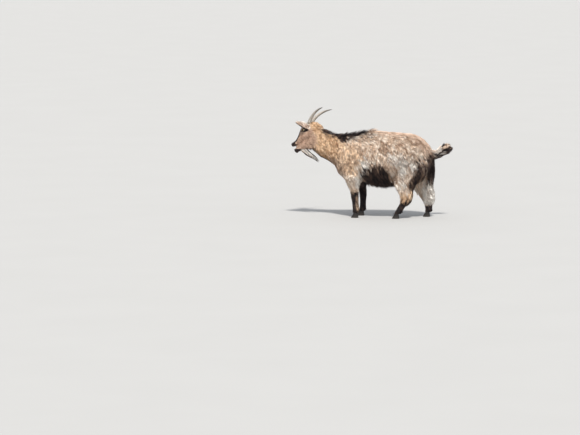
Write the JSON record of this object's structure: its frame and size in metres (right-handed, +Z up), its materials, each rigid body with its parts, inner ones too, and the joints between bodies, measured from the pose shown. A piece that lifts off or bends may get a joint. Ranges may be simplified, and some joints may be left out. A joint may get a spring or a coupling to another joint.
{
  "type": "goat",
  "caption": "Still life-size model of a horned, bearded hill goat standing with its mouth parted, head carried forward and tail raised, in a shaggy coat.",
  "frame": {"origin": "middle of the outline from above, at floor level under the hooves", "axes": "-Y towards the nose, +Y towards the tail, +X towards the goat's left side, +Z up"},
  "size_m": [0.3746, 1.2602, 0.8621],
  "materials": {
    "body_coat": "buff and cream shaggy coat, matte",
    "neck_coat": "warm tan coat, matte",
    "face_coat": "short grey-brown hair, matte",
    "jaw_coat": "short dark hair, matte",
    "beard_hair": "long pale hair, matte",
    "tail_coat": "black-brown hair, matte",
    "leg_coat": "short black-brown hair, matte",
    "ear_coat": "short pale hair, matte",
    "eye": "wet, glossy",
    "horn": "dry grey horn, satin",
    "hoof_horn": "dark horn, satin"
  },
  "bodies": {
    "root": {"trunk": "body_coat", "neck": "neck_coat", "head": "face_coat", "jaw": "jaw_coat", "beard": "beard_hair", "tail": "tail_coat", "ear_left": "ear_coat", "ear_right": "ear_coat", "eye_left": "eye", "eye_right": "eye", "horn_left": "horn", "horn_right": "horn", "upper_foreleg_left": "body_coat", "lower_foreleg_left": "leg_coat", "hoof_foreleg_left_inner": "hoof_horn", "hoof_foreleg_left_outer": "hoof_horn", "upper_foreleg_right": "body_coat", "lower_foreleg_right": "leg_coat", "hoof_foreleg_right_inner": "hoof_horn", "hoof_foreleg_right_outer": "hoof_horn", "upper_hind_leg_left": "body_coat", "lower_hind_leg_left": "leg_coat", "hoof_hind_leg_left_inner": "hoof_horn", "hoof_hind_leg_left_outer": "hoof_horn", "upper_hind_leg_right": "body_coat", "lower_hind_leg_right": "leg_coat", "hoof_hind_leg_right_inner": "hoof_horn", "hoof_hind_leg_right_outer": "hoof_horn"}
  },
  "joints": []
}
